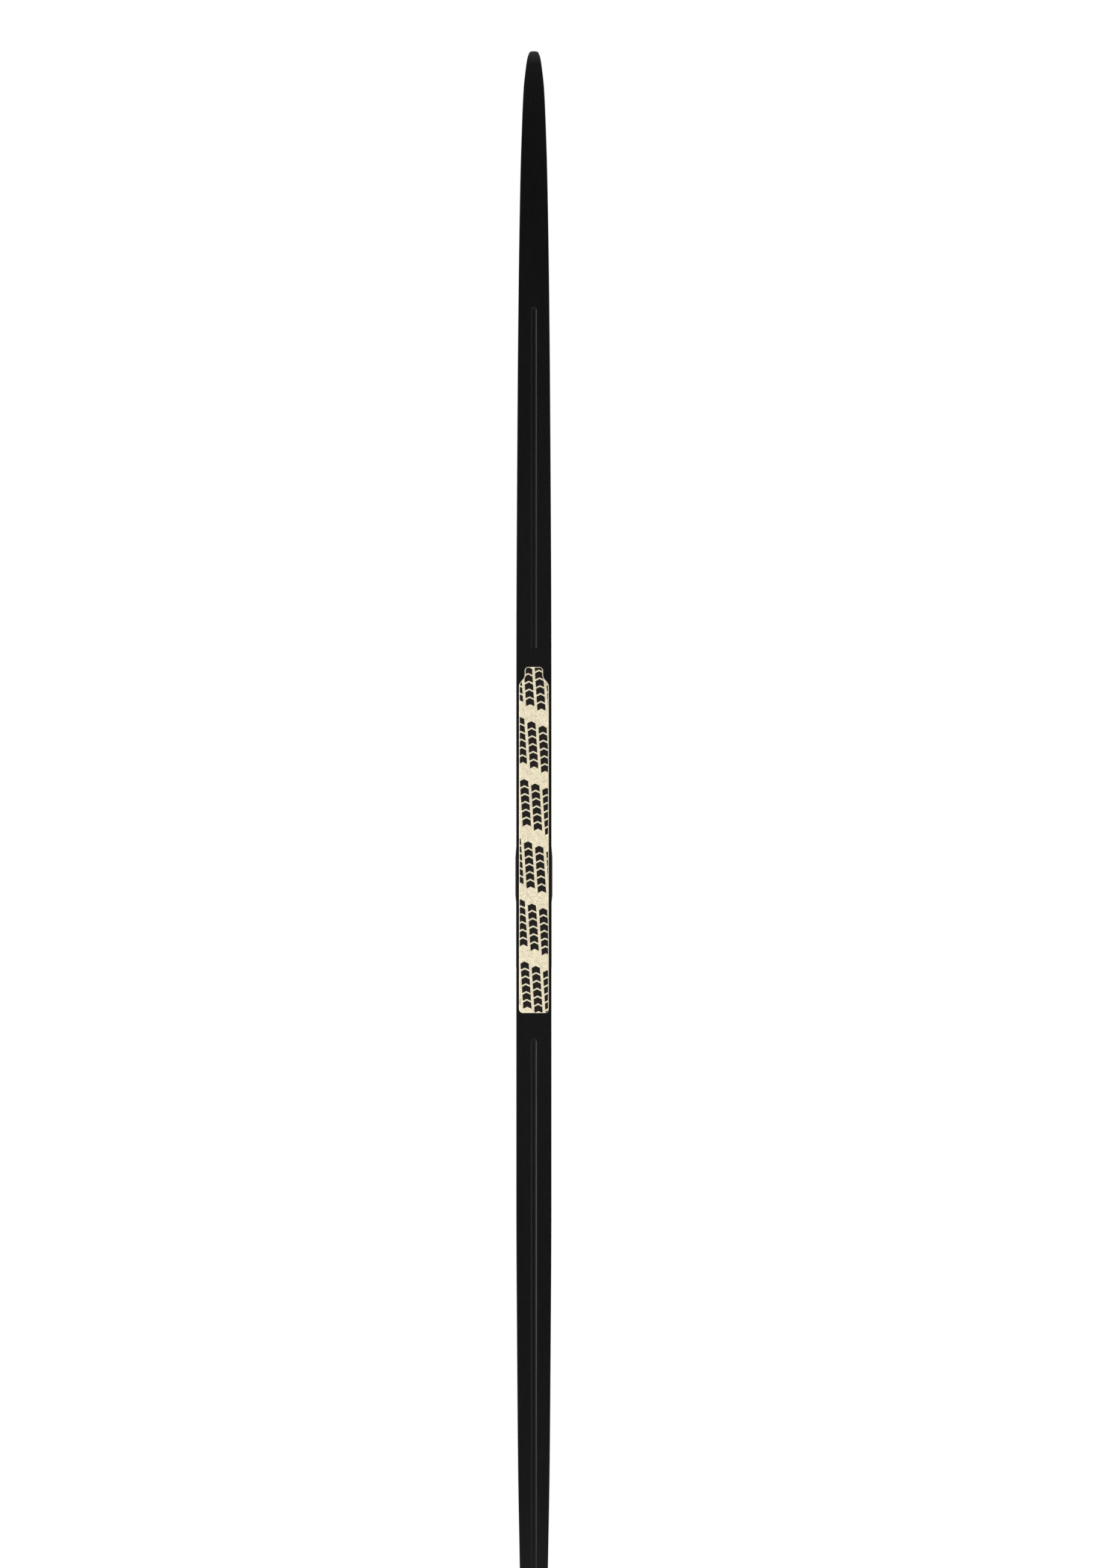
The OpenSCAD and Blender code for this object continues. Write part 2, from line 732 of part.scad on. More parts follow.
// Half of a plate's outline with rounded corners, from front to back.
function round_end(wide, long) = concat(
    [[0, long]],
    arc(wide - corner_r, long - corner_r, corner_r, 90, 0, 6),
    arc(wide - corner_r, corner_r - long, corner_r, 0, -90, 6),
    [[0, -long]]
);

module heel_plate() {
    half = heel_len / 2;
    color("#454546") at_heel() difference() {
        union() {
            plan_block(both_sides(round_end(heel_w / 2, half)), 0, sole_y - 1);
            plan_block(both_sides(round_end(heel_w / 2 - 1, half - 1)), 1, sole_y);
            ridges(6 - half, half - 4, 1);
        }
        block([-pad_half, pad_low, -pad_long], [pad_half, reach, pad_long]);
        for (p = heel_screw_at) head_recess(p, rear_seat_y);
    }
}

module heel_pad() {
    color("#202022") at_heel() union() {
        block([pad_gap - pad_half, pad_low, pad_gap - pad_long],
            [pad_half - pad_gap, pad_low + 3, pad_long - pad_gap]);
        for (z = [-34:6:34])
            block([pad_gap - pad_half, pad_low + 2, z - 1.5],
                [pad_half - pad_gap, pad_low + 4.2, z + 1.5]);
    }
}

module heel_screws() {
    color("#b4b8bb") at_heel() for (p = heel_screw_at)
        translate([p[0], rear_seat_y, p[1]]) screw(rear_seat_y);
}

base_sheet();
grip_skin();
skin_backing();
lower_laminate();
core();
binding_insert();
upper_laminate();
top_sheet();
sidewall_left();
sidewall_right();
tip_spacer();
tail_spacer();
binding_plate();
housing();
toe_bar_seat();
latch();
lever();
lever_pin();
latch_spring();
flexor();
plate_screws();
heel_plate();
heel_pad();
heel_screws();
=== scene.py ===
"""A laminated classic cross country ski with a grip skin and a step-in binding."""

import math

import bmesh
import bpy
import numpy as np
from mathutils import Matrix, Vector


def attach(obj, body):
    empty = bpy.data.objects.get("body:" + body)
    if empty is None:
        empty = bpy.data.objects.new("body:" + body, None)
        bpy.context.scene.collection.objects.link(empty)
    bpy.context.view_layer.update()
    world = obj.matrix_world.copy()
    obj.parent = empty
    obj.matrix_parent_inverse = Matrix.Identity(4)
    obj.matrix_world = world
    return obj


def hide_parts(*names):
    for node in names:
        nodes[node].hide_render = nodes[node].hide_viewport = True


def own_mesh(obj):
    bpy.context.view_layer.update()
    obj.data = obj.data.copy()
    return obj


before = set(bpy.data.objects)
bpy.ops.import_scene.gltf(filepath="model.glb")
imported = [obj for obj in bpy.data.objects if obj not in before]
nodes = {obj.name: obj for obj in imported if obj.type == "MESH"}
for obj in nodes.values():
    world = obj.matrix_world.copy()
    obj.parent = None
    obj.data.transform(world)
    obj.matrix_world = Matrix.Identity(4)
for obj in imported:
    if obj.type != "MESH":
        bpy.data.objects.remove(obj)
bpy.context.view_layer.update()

MM = 0.001

# ---- the ski's curves, in millimetres, as in the CAD model ----

LENGTH = 2020
CAMBER, TIP_LIFT, TAIL_LIFT = 20, 52, 6
TAIL_CONTACT, CREST, TIP_CONTACT = 130, 830, 1740
TIP_POWER = 2.3
TAIL_T, FOOT_T = 5.5, 26
# The origin is the middle of the tail's end.
TAIL_MID = TAIL_LIFT + TAIL_T / 2
# The binding stands on a flat stretch of the top sheet.
DECK_Y = CAMBER + FOOT_T - TAIL_MID
DECK_LOW, DECK_HIGH = 612, 1028
CORE_LOW, CORE_HIGH = 60, 1930
BASE_T, SHEET_T, WALL_T = 1.5, 0.7, 2.5
# The sidewalls lean in by this much, up to LEAN_END, and the lean fades out after it.
LEAN, LEAN_END, LEAN_FADE = 0.7, 1660, 80

# Width of the base: distance from the tip, width.
OUTLINE = [
    (0, 8.5), (2, 12), (8, 16.6), (22, 21.2), (50, 27), (90, 30.8), (170, 35.6), (300, 39.8),
    (460, 42.8), (760, 45.8), (900, 46), (1500, 46), (1740, 43.4), (1850, 41.4),
    (1940, 38.4), (2012, 34.8), (2020, 30),
]

# The guide grooves in the base.
GROOVE_HALF, GROOVE_DEPTH = 3.9, 1.1
FRONT_GROOVE = (1239, 1686)
REAR_GROOVE = (-20, 731)

# The grip skin: a strip with a narrower tongue in front, and a bare rim around the print.
SKIN_REAR, SKIN_FRONT = 764, 1216
SKIN_HALF, TONGUE_HALF, TONGUE_LEN = 19.5, 12, 24
TONGUE_R, REAR_R = 5, 5.5
SKIN_GAP, SKIN_PROUD, SKIN_RIM, BACKING_T = 0.15, 0.25, 0.8, 0.5


def curve(knots, x):
    """A smooth curve through the knots that doesn't overshoot them."""
    kx, ky = np.array(knots, float).T
    secant = np.diff(ky) / np.diff(kx)
    pair, total = secant[:-1] * secant[1:], secant[:-1] + secant[1:]
    inner = np.divide(2 * pair, total, out=np.zeros_like(pair), where=pair > 0)
    slope = np.concatenate([secant[:1], inner, secant[-1:]])
    i = np.clip(np.searchsorted(kx, x, side="right") - 1, 0, len(kx) - 2)
    h = kx[i + 1] - kx[i]
    t = (x - kx[i]) / h
    ends = ky[i] * (1 + 2 * t) * (1 - t) ** 2 + ky[i + 1] * t**2 * (3 - 2 * t)
    return ends + h * t * (1 - t) * (slope[i] * (1 - t) - slope[i + 1] * t)


def ease(t):
    """A step from 0 to 1 that starts and ends level and straight."""
    return t**3 * (t * (6 * t - 15) + 10)


def base_y(z):
    """Height of the running base: the tail's lift, the camber and the tip's turn."""
    z = np.asarray(z, float)
    tail = TAIL_LIFT * np.clip(1 - z / TAIL_CONTACT, 0, None) ** 2
    rise = CAMBER * ease(np.clip((z - TAIL_CONTACT) / (CREST - TAIL_CONTACT), 0, 1))
    fall = CAMBER * ease(np.clip((TIP_CONTACT - z) / (TIP_CONTACT - CREST), 0, 1))
    tip = TIP_LIFT * np.clip((z - TIP_CONTACT) / (LENGTH - TIP_CONTACT), 0, None) ** TIP_POWER
    return tail + np.where(z < CREST, rise, fall) + tip - TAIL_MID


# Thickness behind and in front of the flat stretch: distance from the tail, thickness.
REAR_T = [
    (-40, TAIL_T), (0, TAIL_T), (130, 8.5), (300, 15), (450, 22.5), (550, 27),
    (DECK_LOW, DECK_Y - float(base_y(DECK_LOW))),
]
FRONT_T = [
    (DECK_HIGH, DECK_Y - float(base_y(DECK_HIGH))), (1110, 27), (1250, 23.5), (1450, 16.5),
    (1600, 12), (1740, 8.6), (1880, 5.6), (2020, 3.8), (2100, 3.8),
]


def top_y(z):
    """Height of the top sheet's upper face."""
    z = np.asarray(z, float)
    rear = base_y(z) + curve(REAR_T, np.minimum(z, DECK_LOW))
    front = base_y(z) + curve(FRONT_T, np.maximum(z, DECK_HIGH))
    return np.where(z < DECK_LOW, rear, np.where(z > DECK_HIGH, front, DECK_Y))


def half_w(z):
    """Half the base's width, with the last 2 mm of the tip rounded off."""
    nose, roundness = 2.0, 0.97
    z = np.asarray(z, float)
    width = curve(OUTLINE, LENGTH - np.minimum(z, LENGTH - nose)) / 2
    over = np.clip((z - (LENGTH - nose)) / nose, 0, 1)
    return width * np.sqrt(1 - roundness * over**2)


def lean(z):
    """How far the sidewalls' upper edge stands in from the base's edge."""
    return LEAN * np.clip((LEAN_END + LEAN_FADE - np.asarray(z, float)) / LEAN_FADE, 0, 1)


def groove(x, z):
    """Depth of the guide grooves, round in section and round at their ends."""
    radius = (GROOVE_HALF**2 + GROOVE_DEPTH**2) / (2 * GROOVE_DEPTH)
    depth = np.zeros(np.broadcast(x, z).shape)
    for low, high in (FRONT_GROOVE, REAR_GROOVE):
        along = np.clip(z, low + GROOVE_HALF, high - GROOVE_HALF)
        r = np.hypot(x, z - along)
        section = np.sqrt(radius**2 - np.minimum(r, GROOVE_HALF) ** 2) - radius + GROOVE_DEPTH
        depth = np.maximum(depth, section)
    return depth


def skin_half(z):
    """Half the width of the skin's recess: a round tongue, hollow shoulders and round corners."""
    z = np.asarray(z, float)
    ahead, behind = SKIN_FRONT - z, z - SKIN_REAR
    near = np.clip(ahead, 0, TONGUE_R)
    tongue = TONGUE_HALF - TONGUE_R + np.sqrt(TONGUE_R**2 - (TONGUE_R - near) ** 2)
    flare_start, flare_end = 10, TONGUE_LEN + 2
    flare = ease(np.clip((ahead - flare_start) / (flare_end - flare_start), 0, 1))
    shoulder = tongue + (SKIN_HALF - TONGUE_HALF) * flare
    close = np.clip(behind, 0, REAR_R)
    corner = REAR_R - np.sqrt(REAR_R**2 - (REAR_R - close) ** 2)
    return shoulder - corner


# ---- meshes ----

def spaced(low, high, step, dense=()):
    """Stations from low to high, with closer ones in each (from, to, step) of dense."""
    found = [np.linspace(low, high, int(round((high - low) / step)) + 1)]
    for a, b, fine in dense:
        a, b = max(a, low), min(b, high)
        if a < b:
            found.append(np.linspace(a, b, max(int(round((b - a) / fine)), 1) + 1))
    every = np.unique(np.round(np.concatenate(found), 4))
    closest = 0.05
    return every[np.concatenate([[True], np.diff(every) > closest])]


def new_piece(name, points, faces, materials=(), smooth_deg=35):
    """A mesh object from points in millimetres, with its hard edges kept sharp."""
    mesh = bpy.data.meshes.new(name)
    mesh.from_pydata((np.asarray(points, float) * MM).tolist(), [], faces)
    mesh.validate()
    piece = bpy.data.objects.new(name, mesh)
    bpy.context.scene.collection.objects.link(piece)
    for material in materials:
        mesh.materials.append(material)
    finish_mesh(piece, smooth_deg)
    return piece


def finish_mesh(piece, smooth_deg):
    """Turns the faces outwards and shades them smooth, except over edges sharper than the angle."""
    bm = bmesh.new()
    bm.from_mesh(piece.data)
    bmesh.ops.recalc_face_normals(bm, faces=bm.faces)
    bm.to_mesh(piece.data)
    bm.free()
    smooth_faces(piece, smooth_deg)


def smooth_faces(piece, smooth_deg):
    piece.data.shade_smooth()
    piece.data.set_sharp_from_angle(angle=math.radians(smooth_deg))


def loft(name, rings, materials=(), smooth_deg=35, slot_of=None):
    """A closed skin over rings of points, shape (rings, points, 3). slot_of(z) picks a material."""
    rows, n = rings.shape[:2]
    i, j = np.meshgrid(np.arange(rows - 1), np.arange(n), indexing="ij")
    a, b = i * n + j, i * n + (j + 1) % n
    quads = np.stack([a, b, b + n, a + n], axis=-1).reshape(-1, 4).tolist()
    faces = quads + [list(range(n - 1, -1, -1)), [(rows - 1) * n + k for k in range(n)]]
    piece = new_piece(name, rings.reshape(-1, 3), faces, materials, smooth_deg)
    if slot_of:
        for face in piece.data.polygons:
            face.material_index = slot_of(face.center.z / MM)
    return piece


def ring(sections, z):
    """Rings from a list of (x, y) arrays, one for each point around, at stations z."""
    return np.stack([np.stack([x + 0 * z, y + 0 * z, z], axis=-1) for x, y in sections], axis=1)


def ride(piece, body, slot, *replaced):
    """Says which body a piece moves with and the CAD nodes it stands for. slot is not used."""
    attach(piece, body)
    if replaced:
        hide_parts(*replaced)
    return piece


# ---- materials ----

class Finish:
    """A material's node tree, with short calls for the nodes that the finishes here use."""

    def __init__(self, name, colour, roughness, metallic=0.0, specular=0.5):
        self.material = bpy.data.materials.new(name)
        self.material.use_nodes = True
        self.tree = self.material.node_tree
        self.shader = self.tree.nodes["Principled BSDF"]
        self.set("Base Color", (*colour, 1))
        self.set("Roughness", roughness)
        self.set("Metallic", metallic)
        self.set("Specular IOR Level", specular)
        self.place = self.tree.nodes.new("ShaderNodeTexCoord").outputs["Object"]

    def set(self, socket, value):
        self.shader.inputs[socket].default_value = value

    def feed(self, socket, value):
        """Gives a node's socket a number, a colour or another node's output."""
        if isinstance(value, bpy.types.NodeSocket):
            self.tree.links.new(value, socket)
        elif isinstance(value, (tuple, list)) and len(value) == 3 and socket.type == "RGBA":
            socket.default_value = (*value, 1)
        else:
            socket.default_value = value

    def math(self, operation, *values):
        node = self.tree.nodes.new("ShaderNodeMath")
        node.operation = operation
        for socket, value in zip(node.inputs, values):
            self.feed(socket, value)
        return node.outputs[0]

    def both(self, a, b):
        """1 where both masks are 1."""
        return self.math("MULTIPLY", a, b)

    def within(self, value, low, high):
        """1 where the value lies between low and high."""
        return self.both(self.math("GREATER_THAN", value, low), self.math("LESS_THAN", value, high))

    def axes(self):
        """The place's x, y and z, in millimetres."""
        split = self.tree.nodes.new("ShaderNodeSeparateXYZ")
        self.feed(split.inputs[0], self.place)
        return [self.math("MULTIPLY", out, 1 / MM) for out in split.outputs]

    def from_tip(self):
        """Distances from the ski's middle line and down from its tip, in millimetres."""
        x, _, z = self.axes()
        return self.math("ABSOLUTE", x), self.math("SUBTRACT", LENGTH, z)

    def stripes(self, value, pitch, share):
        """1 in the first share of every pitch."""
        return self.math("LESS_THAN", self.math("FRACT", self.math("DIVIDE", value, pitch)), share)

    def stretched(self, scale):
        node = self.tree.nodes.new("ShaderNodeMapping")
        self.feed(node.inputs["Vector"], self.place)
        node.inputs["Scale"].default_value = scale
        return node.outputs[0]

    def noise(self, grain, detail=3.0, rough=0.5):
        """Noise whose grain is (x, y, z) millimetres long."""
        node = self.tree.nodes.new("ShaderNodeTexNoise")
        self.feed(node.inputs["Vector"], self.stretched([1 / (g * MM) for g in grain]))
        node.inputs["Scale"].default_value = 1.0
        node.inputs["Detail"].default_value = detail
        node.inputs["Roughness"].default_value = rough
        return node.outputs["Fac"]

    def remap(self, value, low, high, to_low, to_high):
        node = self.tree.nodes.new("ShaderNodeMapRange")
        for socket, x in zip(node.inputs, (value, low, high, to_low, to_high)):
            self.feed(socket, x)
        return node.outputs[0]

    def vary(self, noise, to_low, to_high, low=0.3, high=0.7):
        """Stretches the usual range of a noise over to_low and to_high."""
        return self.remap(noise, low, high, to_low, to_high)

    def shades(self, noise, colour, dark, light, low=0.3, high=0.7):
        """The colour times dark where the noise is low, and times light where it is high."""
        share = self.vary(noise, 0, 1, low, high)
        return self.blend(share, scaled(colour, dark), scaled(colour, light))

    def blend(self, share, a, b):
        """Colour a where share is 0 and colour b where it is 1."""
        node = self.tree.nodes.new("ShaderNodeMix")
        node.data_type = "RGBA"
        colours = [socket for socket in node.inputs if socket.type == "RGBA"]
        for socket, value in zip([node.inputs["Factor"], *colours], (share, a, b)):
            self.feed(socket, value)
        return next(socket for socket in node.outputs if socket.type == "RGBA")

    def bump(self, height, depth):
        """Raises the surface by depth millimetres where height is 1."""
        node = self.tree.nodes.new("ShaderNodeBump")
        node.inputs["Distance"].default_value = depth * MM
        self.feed(node.inputs["Height"], height)
        self.feed(self.shader.inputs["Normal"], node.outputs[0])

    def colour(self, value):
        self.feed(self.shader.inputs["Base Color"], value)

    def roughness(self, value):
        self.feed(self.shader.inputs["Roughness"], value)


def scaled(colour, k):
    return tuple(c * k for c in colour)


def base_finish():
    """Sintered polyethylene: near black, lighter behind the foot, with a painted highlight on the
    tip's end and a fine ground structure.
    """
    darkest_tone, lightest_tone = (0.0008, 0.0008, 0.0009), (0.0046, 0.0046, 0.0048)
    # The second colour on the next line is a painted highlight for the tip's turned-up end.
    fleck_tone, tip_highlight_tone = (0.018, 0.018, 0.019), (0.016, 0.016, 0.0165)
    tail_z, lightest_z, tip_z = 200, 600, 1950
    tail_lightness, most_lightness, tip_lightness = 0.02, 0.42, 0.1
    tip_highlight_from, tip_highlight_to = LENGTH - 17, LENGTH - 1
    f = Finish("base_pe", (0.003, 0.003, 0.0032), 0.36, specular=0.17)
    cloud = f.noise((18, 18, 90), 4)
    structure = f.noise((0.35, 2, 26), 2)
    fleck = f.vary(f.noise((0.5, 0.5, 0.9), 3, 0.7), 0, 0.2, 0.62, 0.8)
    _, _, z = f.axes()
    # The base's tone is lighter just behind the foot and darker towards the tip and the tail.
    behind = f.remap(z, tail_z, lightest_z, tail_lightness, most_lightness)
    ahead = f.remap(z, lightest_z, tip_z, most_lightness, tip_lightness)
    lightness = f.math("ADD", f.math("MINIMUM", behind, ahead), f.vary(cloud, -0.1, 0.1))
    tone = f.blend(fleck, f.blend(lightness, darkest_tone, lightest_tone), fleck_tone)
    # Painted highlight: the tip's last 17 mm are painted lighter, for the light that its turned-up
    # end catches.
    f.colour(f.blend(f.remap(z, tip_highlight_from, tip_highlight_to, 0, 1), tone, tip_highlight_tone))
    f.roughness(f.vary(structure, 0.30, 0.42))
    f.bump(structure, 0.012)
    return f.material


def print_mask(f):
    """Bold chevrons in slanted columns: 1 in the ink, 0 on the bare pile."""
    # A column's width, the length after which it repeats, and the length and half width of its
    # group of six chevrons.
    column, row, length, half = 14.3, 81.3, 61.2, 5.45
    # The columns' sideways drift for each mm, and each column's delay behind the last one.
    slant, stagger = 0.063, 5.75
    # From one chevron to the next, the share of that which is ink, and the slope of their arms.
    pitch, stroke, rise = length / 6, 0.8, 0.5
    from_middle, from_front = -1.1, 4.7
    x, _, z = f.axes()
    x = f.math("SUBTRACT", x, from_middle)
    down = f.math("SUBTRACT", SKIN_FRONT + from_front, z)
    across = f.math("DIVIDE", f.math("MULTIPLY_ADD", down, -slant, x), column)
    index = f.math("FLOOR", across)
    centred = f.math("SUBTRACT", f.math("FRACT", across), 0.5)
    side = f.math("ABSOLUTE", f.math("MULTIPLY", centred, column))
    along = f.math("SUBTRACT", down, f.math("MULTIPLY", index, stagger))
    along = f.math("MULTIPLY_ADD", side, -rise, along)
    along = f.math("MULTIPLY", f.math("FRACT", f.math("DIVIDE", along, row)), row)
    mark = f.stripes(along, pitch, stroke)
    inside = f.both(f.math("LESS_THAN", side, half), f.math("LESS_THAN", along, length))
    return f.both(mark, inside)


def mohair_finish(name, shade, printed=True):
    """Short cream pile that lies towards the tail, with or without the black print on it."""
    shadow, bright, yellowed = (0.62, 0.55, 0.39), (0.86, 0.79, 0.62), (0.70, 0.62, 0.45)
    ink_dark, ink_light = (0.006, 0.005, 0.0045), (0.016, 0.013, 0.011)
    f = Finish(name, scaled((0.80, 0.73, 0.56), shade), 0.85, specular=0.1)
    strand = f.noise((0.22, 0.6, 2.6), 3, 0.6)
    patch = f.noise((6, 6, 22), 2)
    tone = f.blend(f.vary(strand, 0, 1, 0.35, 0.68), scaled(shadow, shade), scaled(bright, shade))
    tone = f.blend(f.vary(patch, 0, 0.35), tone, scaled(yellowed, shade))
    if printed:
        ink = f.blend(f.vary(strand, 0, 1, 0.35), ink_dark, ink_light)
        tone = f.blend(print_mask(f), tone, ink)
    f.colour(tone)
    f.set("Sheen Weight", 0.05)
    f.set("Sheen Roughness", 0.5)
    f.bump(strand, 0.12)
    return f.material


def film_finish(name, colour, marks=None):
    """Satin top film over fine lengthwise fibres."""
    f = Finish(name, colour, 0.34, specular=0.45)
    fibre = f.noise((0.3, 1, 14), 3)
    cloud = f.noise((25, 25, 120), 3)
    tone = f.shades(fibre, colour, 0.86, 1.14)
    tone = f.blend(f.vary(cloud, 0, 0.5), tone, scaled(colour, 0.9))
    f.colour(marks(f, tone) if marks else tone)
    f.roughness(f.vary(cloud, 0.28, 0.4))
    f.set("Coat Weight", 0.35)
    f.set("Coat Roughness", 0.12)
    f.bump(fibre, 0.006)
    return f.material


def front_marks(f, tone):
    """Slanted blue-grey bars near both edges of the front part, and tone-on-tone facets."""
    facet_tone, bar_tone = (0.047, 0.048, 0.050), (0.138, 0.168, 0.195)
    bar_slope, bar_pitch, bar_share, bars_from, bars_to, bar_inner = 1.6, 24, 0.62, 552, 624, 7
    facet_slope, facet_pitch = -2.4, 210
    side, down = f.from_tip()
    slanted = f.math("MULTIPLY_ADD", side, bar_slope, down)
    bars = f.both(f.stripes(slanted, bar_pitch, bar_share), f.within(slanted, bars_from, bars_to))
    bars = f.both(bars, f.math("GREATER_THAN", side, bar_inner))
    facet = f.stripes(f.math("MULTIPLY_ADD", side, facet_slope, down), facet_pitch, 0.5)
    tone = f.blend(f.math("MULTIPLY", facet, 0.5), tone, facet_tone)
    return f.blend(bars, tone, bar_tone)


def tail_marks(f, tone):
    """Small generic marks on the pale tail: round dots and a few dashes near the edges."""
    dot_side, dark_downs, dark_r = 15.5, (1779, 1807), 1.4
    red_side, red_down, red_r = 14.5, 1846, 1.8
    dash_pitch, dash_share, dashes_from, dashes_to = 4, 0.45, 1888, 1904
    dash_in, dash_out = 12.5, 16
    side, down = f.from_tip()

    def dot(at_side, at_down, radius):
        away = f.math("POWER", f.math("SUBTRACT", side, at_side), 2)
        away = f.math("ADD", away, f.math("POWER", f.math("SUBTRACT", down, at_down), 2))
        return f.math("LESS_THAN", away, radius**2)

    dark = f.math("MAXIMUM", *[dot(dot_side, dark_down, dark_r) for dark_down in dark_downs])
    dashes = f.both(f.stripes(down, dash_pitch, dash_share), f.within(down, dashes_from, dashes_to))
    dashes = f.both(dashes, f.within(side, dash_in, dash_out))
    tone = f.blend(f.math("MAXIMUM", dark, dashes), tone, (0.03, 0.03, 0.032))
    return f.blend(dot(red_side, red_down, red_r), tone, (0.75, 0.03, 0.03))


def sidewall_finish(name, colour):
    """Planed plastic with faint lengthwise tool marks."""
    f = Finish(name, colour, 0.5, specular=0.1)
    line = f.noise((0.6, 0.25, 30), 3)
    f.colour(f.shades(line, colour, 0.84, 1.12))
    f.roughness(f.vary(line, 0.42, 0.58))
    f.bump(line, 0.015)
    return f.material


def moulded_finish(name, colour, grain=0.45, depth=0.03, roughness=0.55):
    """Moulded plastic with a fine spark-eroded grain."""
    f = Finish(name, colour, roughness, specular=0.4)
    pits = f.noise((grain, grain, grain), 3, 0.6)
    cloud = f.noise((9, 9, 14), 3)
    scuff = f.vary(f.noise((0.5, 0.5, 9), 4, 0.65), 0, 0.5, 0.66, 0.78)
    f.colour(f.blend(scuff, f.shades(cloud, colour, 0.86, 1.12), scaled(colour, 1.5)))
    f.roughness(f.vary(pits, roughness - 0.08, roughness + 0.1))
    f.bump(pits, depth)
    return f.material


def steel_finish(name, colour, grain, roughness=0.3):
    """Brushed steel; grain is the brush lines' (x, y, z) size."""
    f = Finish(name, colour, roughness, metallic=1.0)
    line = f.noise(grain, 4, 0.6)
    f.colour(f.shades(line, colour, 0.88, 1.06, 0.25, 0.75))
    f.roughness(f.vary(line, roughness - 0.05, roughness + 0.07, 0.25, 0.75))
    f.bump(line, 0.004)
    return f.material


def rubber_finish(name, colour):
    """Moulded rubber with a fine skin and a paler bloom in places."""
    f = Finish(name, colour, 0.72, specular=0.3)
    skin = f.noise((0.6, 0.6, 0.6), 4, 0.65)
    bloom = f.noise((7, 7, 7), 3)
    f.colour(f.blend(f.vary(bloom, 0, 0.6, 0.35), colour, scaled(colour, 1.7)))
    f.roughness(f.vary(skin, 0.62, 0.82))
    f.bump(skin, 0.04)
    return f.material


def wood_finish():
    """Light strips glued side by side, each of its own tone, with grain along the ski."""
    late, early, browner = (0.42, 0.27, 0.13), (0.72, 0.55, 0.33), (0.50, 0.34, 0.17)
    glue_tone = (0.20, 0.13, 0.07)
    strip_w, glue = 7.5, 0.03
    f = Finish("core_wood", (0.62, 0.45, 0.25), 0.6, specular=0.25)
    x, _, _ = f.axes()
    across = f.math("DIVIDE", x, strip_w)
    wave = f.math("SINE", f.math("MULTIPLY", f.math("FLOOR", across), 12.9))
    own = f.math("FRACT", f.math("MULTIPLY", wave, 43.7))
    grain = f.noise((0.9, 3, 45), 5, 0.62)
    ray = f.noise((0.3, 0.5, 4), 2)
    tone = f.blend(f.vary(grain, 0, 1), late, early)
    tone = f.blend(f.math("MULTIPLY", own, 0.4), tone, browner)
    line = f.math("LESS_THAN", f.math("FRACT", across), glue)
    f.colour(f.blend(line, tone, glue_tone))
    f.bump(f.math("ADD", grain, f.math("MULTIPLY", ray, 0.3)), 0.06)
    return f.material


def fibre_finish(name, dark, light, grain, coat):
    """Fibres in resin: fine strands of two tones under a clear coat."""
    f = Finish(name, dark, 0.4, specular=0.5)
    strand = f.noise(grain, 4, 0.6)
    f.colour(f.blend(f.vary(strand, 0, 1, 0.35, 0.65), dark, light))
    f.roughness(f.vary(strand, 0.3, 0.5))
    f.set("Coat Weight", coat)
    f.set("Coat Roughness", 0.15)
    f.bump(strand, 0.02)
    return f.material


base_pe = base_finish()
mohair = mohair_finish("mohair", 1.0)
pile = mohair_finish("mohair_pile", 1.06)
mohair_rim = mohair_finish("mohair_rim", 1.0, printed=False)
film_front = film_finish("film_front", (0.034, 0.034, 0.035), front_marks)
film_rear = film_finish("film_rear", (0.025, 0.025, 0.0255))
film_red = film_finish("film_red", (0.78, 0.035, 0.036))
film_pale = film_finish("film_pale", (0.64, 0.73, 0.78), tail_marks)
wall_red = sidewall_finish("sidewall_red", (0.36, 0.010, 0.014))
wall_dark = sidewall_finish("sidewall_dark", (0.022, 0.022, 0.023))
wall_pink = sidewall_finish("sidewall_pink", (0.52, 0.14, 0.15))
spacer_dark = moulded_finish("spacer_dark", (0.016, 0.016, 0.017), 0.5, 0.02, 0.5)
plastic = moulded_finish("binding_plastic", (0.034, 0.034, 0.035))
plastic_rear = moulded_finish("plate_plastic", (0.028, 0.0275, 0.027))
plastic_lever = moulded_finish("lever_plastic", (0.044, 0.044, 0.046), 0.35, 0.015, 0.42)
rubber = rubber_finish("rubber", (0.016, 0.016, 0.0175))
backing = rubber_finish("backing", (0.045, 0.045, 0.046))
steel = steel_finish("steel", (0.50, 0.51, 0.53), (9, 0.08, 0.08))
screw_steel = steel_finish("screw_steel", (0.52, 0.53, 0.55), (0.12, 2, 0.12), 0.28)
spring_steel = steel_finish("spring_steel", (0.48, 0.49, 0.51), (0.3, 0.3, 0.3), 0.34)
wood = wood_finish()
laminate = fibre_finish(
    "laminate", (0.018, 0.020, 0.023), (0.07, 0.075, 0.08), (0.25, 0.4, 22), 0.5)
glass_mat = fibre_finish(
    "insert", (0.30, 0.29, 0.21), (0.52, 0.51, 0.42), (1.2, 0.4, 1.6), 0.2)


# ---- the ski's layers ----

# Step between stations along the ski, and closer stations where its ends turn: (from, to, step).
STEP = 6
ENDS_DENSE = [(1960, LENGTH, 2), (2008, LENGTH, 0.5), (2017.6, LENGTH, 0.12), (0, 4, 0.5)]
# Where the pale tail, the red band and the plain dark stretch of the top sheet end.
WHITE_END, RED_END, PLAIN_END = 337, 346, 624
# Least half width of the upper layers, at the very tip.
LEAST_HALF = 0.5


def bands(limits):
    """A function from a height z to the index of the band it lies in."""
    return lambda z: int(sum(z > limit for limit in limits))


def border(limit):
    """Two stations close together, so that a band's edge is crisp."""
    return limit, limit + 0.1, 0.1


